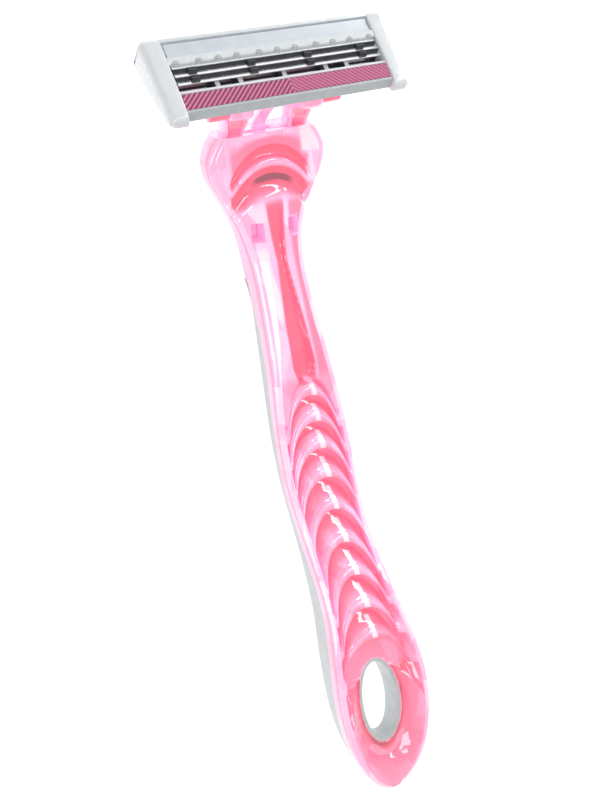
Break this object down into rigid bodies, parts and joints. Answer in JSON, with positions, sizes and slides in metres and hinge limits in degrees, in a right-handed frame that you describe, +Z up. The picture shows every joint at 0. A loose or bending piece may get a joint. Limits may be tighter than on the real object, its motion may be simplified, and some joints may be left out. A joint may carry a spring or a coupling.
{
  "type": "cartridge razor",
  "caption": "Hand razor with a slim finned translucent handle, a hanging hole in its tail and a pivoting multi-blade cartridge on a clip-in yoke.",
  "frame": {"origin": "centre line of the flat belly of the back grip, on the surface the razor rests on", "axes": "+X along the blades, +Y along the handle towards the head, +Z up out of the front of the handle"},
  "size_m": [0.0406, 0.1427, 0.0256],
  "materials": {
    "clear_pink_plastic": "clear pink styrenic moulding, high gloss",
    "white_plastic": "smooth satin-gloss white moulding",
    "grey_plastic": "satin grey moulding",
    "pink_elastomer": "matte moulded elastomer fins",
    "strip_polymer": "waxy lubricating polymer",
    "blade_steel": "ground stainless strip",
    "black_plastic": "black moulding"
  },
  "bodies": {
    "handle": {"handle_shell": "clear_pink_plastic", "back_grip": "white_plastic"},
    "hub": {"hub_yoke": "clear_pink_plastic"},
    "return_tongue": {"return_tongue": "clear_pink_plastic"},
    "latch_left": {"latch_left": "clear_pink_plastic"},
    "latch_right": {"latch_right": "clear_pink_plastic"},
    "cartridge": {"cap_frame": "white_plastic", "cartridge_base": "white_plastic", "strip_carrier": "white_plastic", "lubricating_strip": "strip_polymer", "blade_1": "blade_steel", "blade_2": "blade_steel", "blade_3": "blade_steel", "blade_spacer_1": "black_plastic", "blade_spacer_2": "black_plastic", "guard_bar": "grey_plastic", "guard_strip": "pink_elastomer"}
  },
  "joints": [
    {"name": "hub_release", "type": "slide", "parent": "handle", "child": "hub", "axis": [0, 0.9397, 0.342], "range_m": [0, 0.019]},
    {"name": "head_pivot", "type": "hinge", "parent": "hub", "child": "cartridge", "pos_m": [0, 0.05752, 0.01761], "axis": [-1, 0, 0], "range_deg": [0, 40], "stiffness_Nm_per_rad": 0.01, "springref_deg": -17.19},
    {"name": "tongue_flex", "type": "hinge", "parent": "hub", "child": "return_tongue", "pos_m": [0, 0.05543, 0.01001], "axis": [-1, 0, 0], "range_deg": [0, 9]},
    {"name": "latch_left_press", "type": "hinge", "parent": "hub", "child": "latch_left", "pos_m": [-0.00305, 0.04832, 0.0079], "axis": [0, -0.342, 0.9397], "range_deg": [0, 5], "stiffness_Nm_per_rad": 0.02},
    {"name": "latch_right_press", "type": "hinge", "parent": "hub", "child": "latch_right", "pos_m": [0.00305, 0.04832, 0.0079], "axis": [0, 0.342, -0.9397], "range_deg": [0, 5], "stiffness_Nm_per_rad": 0.02}
  ],
  "couplings": [
    {"joint": "tongue_flex", "follows": "head_pivot", "ratio": 0.21}
  ]
}
